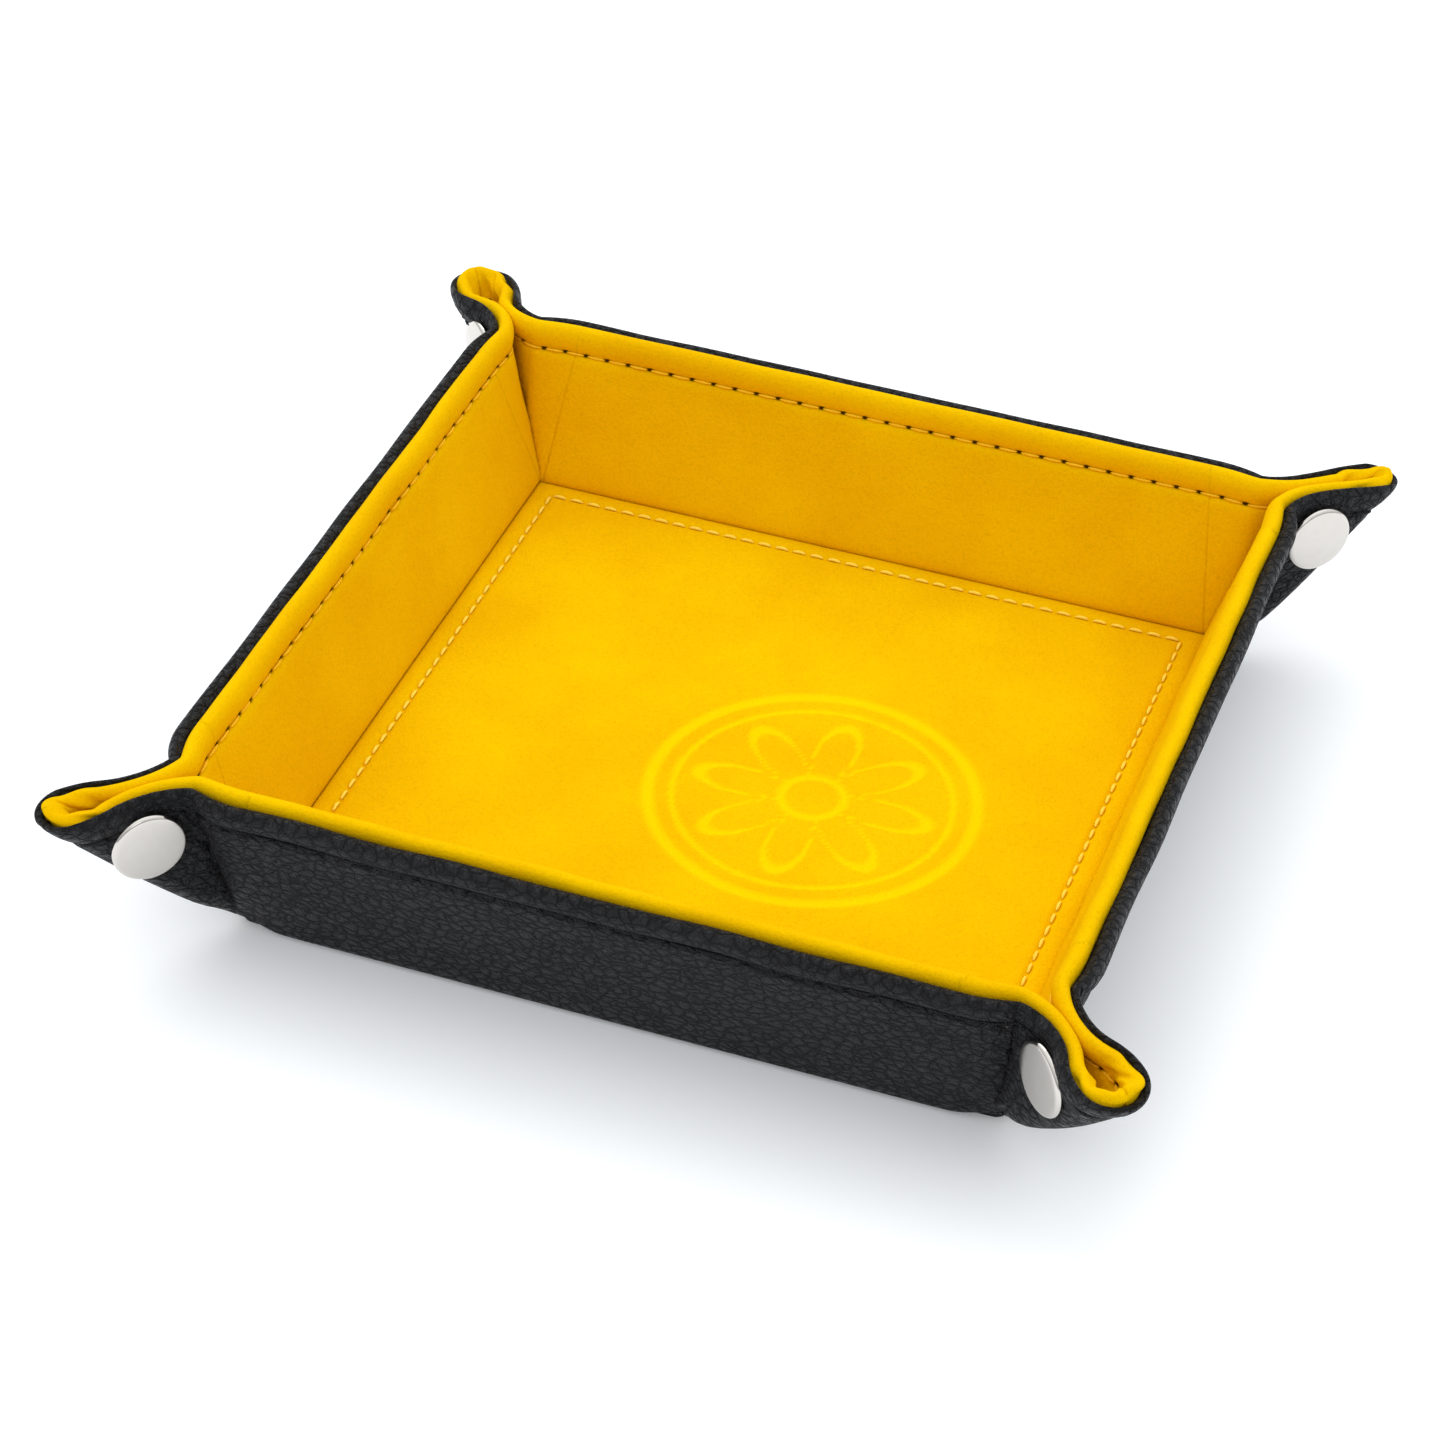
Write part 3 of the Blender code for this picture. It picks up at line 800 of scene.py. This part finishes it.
per_side = round(2 * FLOOR_STITCH / FLOOR_PITCH)
pitch = 2 * FLOOR_STITCH / per_side
paths, normals = [], []
for w in range(4):
    for k in range(per_side):
        t = np.linspace(0.14, 0.86, 9)
        along = -FLOOR_STITCH + (k + t) * pitch
        up = FLOOR_TOP - 0.38 + 0.34 * np.sin(math.pi * (t - 0.1) / 0.8) ** 0.7
        line = np.stack([along, np.full_like(t, FLOOR_STITCH), up], -1)
        paths.append(world(line, w, 1))
        normals.append(np.tile([0.0, 0.0, 1.0], (len(t), 1)))
floor_seam = strands("floor_seam", paths, normals, 0.32, [PALE_THREAD])
finished(floor_seam, "yellow_thread", "base_stitching")
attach(floor_seam, "base")


def floor_leather():
    """The leather under the floor, with its edges rounded off at the folds."""
    half = np.array([0, 8, 16, 24, 32, 40, 48, 56, 62, 65, 66.6, 67.4, 67.9, FOLD_HALF])
    line = np.concatenate([-half[:0:-1], half])
    x, y = np.meshgrid(line, line, indexing="ij")
    edge = np.maximum(np.abs(x), np.abs(y))
    low = 0.12 * smooth((edge - 67.0) / 1.2) ** 2
    made_points, made = slab(*rounded(x, y, FOLD_HALF, 2.5), np.full_like(x, SKIN), low)
    return mesh_object(
        "floor_leather", made_points, made, None, [LEATHER], flip=volume(made_points, made) < 0
    )


under_leather = finished(floor_leather(), "black_leather", "base_leather")
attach(under_leather, "base")

# ---- Snap caps: turned metal ----

CAP_PROFILE = [  # (radius, height over the leather's face)
    (0.0, 1.30), (1.2, 1.29), (2.4, 1.26), (3.6, 1.20), (4.7, 1.12), (5.4, 1.05), (5.8, 1.00),
    (6.06, 0.92), (6.28, 0.77), (6.44, 0.55), (6.52, 0.30), (6.50, 0.10), (6.35, -0.05),
    (6.0, -0.16), (5.5, -0.2), (4.0, -0.2), (0.0, -0.2),
]


def cap_object(name, ear, w, side):
    """A cap in place of the CAD's, on the same axis. side is the ear's side of wall w."""
    low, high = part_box(name)
    centre = np.array((low + high) / 2) / MM
    diagonal = world(np.array([-1.0, 1.0, 0.0]) / math.sqrt(2), w, side)  # outwards from the plane
    on_plane = centre - diagonal * (centre @ diagonal)
    up = np.array([0.0, 0.0, 1.0])
    third = np.cross(diagonal, up)
    steps = 96
    angle = np.linspace(0, 2 * math.pi, steps, endpoint=False)
    points, faces = [], []
    for radius, height in CAP_PROFILE[1:-1]:
        ring = on_plane + diagonal * (CAP_FACE + height)
        ring = ring + radius * (np.cos(angle)[:, None] * up + np.sin(angle)[:, None] * third)
        points.append(ring)
    rings = len(points)
    points = np.concatenate(points + [
        [on_plane + diagonal * (CAP_FACE + CAP_PROFILE[0][1])],
        [on_plane + diagonal * (CAP_FACE + CAP_PROFILE[-1][1])],
    ])
    for r in range(rings - 1):
        for k in range(steps):
            m = (k + 1) % steps
            faces.append([r * steps + k, r * steps + m, (r + 1) * steps + m, (r + 1) * steps + k])
    for k in range(steps):
        m = (k + 1) % steps
        faces.append([rings * steps, m, k])
        faces.append([rings * steps + 1, (rings - 1) * steps + k, (rings - 1) * steps + m])
    obj = mesh_object(f"{name}_turned", points, faces, None, [NICKEL], flip=volume(points, faces) < 0)
    finished(obj, "polished_nickel", name)
    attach(obj, ear)


for (w, side), (ear, corner) in EAR_OF.items():
    cap_object(f"snap_{corner}_{'socket' if side > 0 else 'stud'}_cap", ear, w, side)

# ---- Materials of the CAD nodes that stay ----

for name, obj in frame["nodes"].items():
    if obj.hide_render:
        continue
    kept = BOARD if name.endswith("board") else SPRING if name.endswith("spring") else NICKEL
    for index in range(len(obj.material_slots)):
        obj.material_slots[index].material = kept

# ---- Stage, light and camera ----

stage_material, tree, shader, place = nodes_of("stage_white_glowing")
grain = noise(tree, place, 400, 2, 0.5).outputs["Fac"]
tree.links.new(mix(tree, grain, (0.955, 0.965, 0.985), (0.965, 0.975, 0.99)), shader.inputs["Base Color"])
shader.inputs["Roughness"].default_value = 0.9
shader.inputs["Specular IOR Level"].default_value = 0.1
# Painted light: the stage glows faintly, which lightens the shadows cast on it.
shader.inputs["Emission Color"].default_value = (0.94, 0.97, 1.0, 1)
shader.inputs["Emission Strength"].default_value = 0.12
STAGE = 3000.0
corners = np.array([[-STAGE, -STAGE, 0], [STAGE, -STAGE, 0], [STAGE, STAGE, 0], [-STAGE, STAGE, 0]])
stage = mesh_object("stage_floor", corners, [[0, 1, 2, 3]], None, [stage_material])
stage.location.z = -0.0002


def area_light(name, place, target, size, power):
    data = bpy.data.lights.new(name, "AREA")
    data.shape, data.size, data.energy = "DISK", size, power
    light = bpy.data.objects.new(name, data)
    light.location = place
    light.rotation_euler = (Vector(target) - Vector(place)).to_track_quat("-Z", "Y").to_euler()
    bpy.context.scene.collection.objects.link(light)


area_light("key", (-0.75, 0.85, 1.25), (0, 0, 0), 1.3, 6)
area_light("fill", (0.7, -1.3, 0.9), (0, 0, 0), 0.7, 0.8)
world_light = bpy.data.worlds.new("studio")
bpy.context.scene.world = world_light
world_light.use_nodes = True
sky = world_light.node_tree
background = sky.nodes["Background"]
background.inputs["Color"].default_value = (0.97, 0.985, 1.0, 1)
way = node(sky, "ShaderNodeSeparateXYZ", {0: node(sky, "ShaderNodeTexCoord").outputs["Generated"]}).outputs
strength = maths(sky, "MULTIPLY_ADD", way["Z"], 0.9, 0.55)  # brighter overhead and behind the tray
strength = maths(sky, "MULTIPLY_ADD", way["Y"], 0.16, strength)
sky.links.new(strength, background.inputs["Strength"])
bpy.context.scene.view_settings.view_transform = "Standard"

# Solved from the photo's rim corners and floor seam, with the lens that they give.
CAMERA_PLACE = Vector((0.18364, -0.56959, 0.47572))
CAMERA_LOOK = Vector((-0.2492324, 0.75080122, -0.61170315)).normalized()
CAMERA_ROLL = math.radians(2.1587)
CAMERA_LENS, SENSOR = 106.63, 36.0
camera_data = bpy.data.cameras.new("camera")
camera_data.lens, camera_data.sensor_width = CAMERA_LENS, SENSOR
camera_data.clip_start, camera_data.clip_end = 0.01, 20.0
camera = bpy.data.objects.new("camera", camera_data)
right = CAMERA_LOOK.cross(Vector((0, 0, 1))).normalized()
up = right.cross(CAMERA_LOOK)
right, up = (
    math.cos(CAMERA_ROLL) * right + math.sin(CAMERA_ROLL) * up,
    math.cos(CAMERA_ROLL) * up - math.sin(CAMERA_ROLL) * right,
)
camera.matrix_world = Matrix.Translation(CAMERA_PLACE) @ Matrix(
    (right, up, -CAMERA_LOOK)
).transposed().to_4x4()
bpy.context.scene.collection.objects.link(camera)
bpy.context.scene.camera = camera
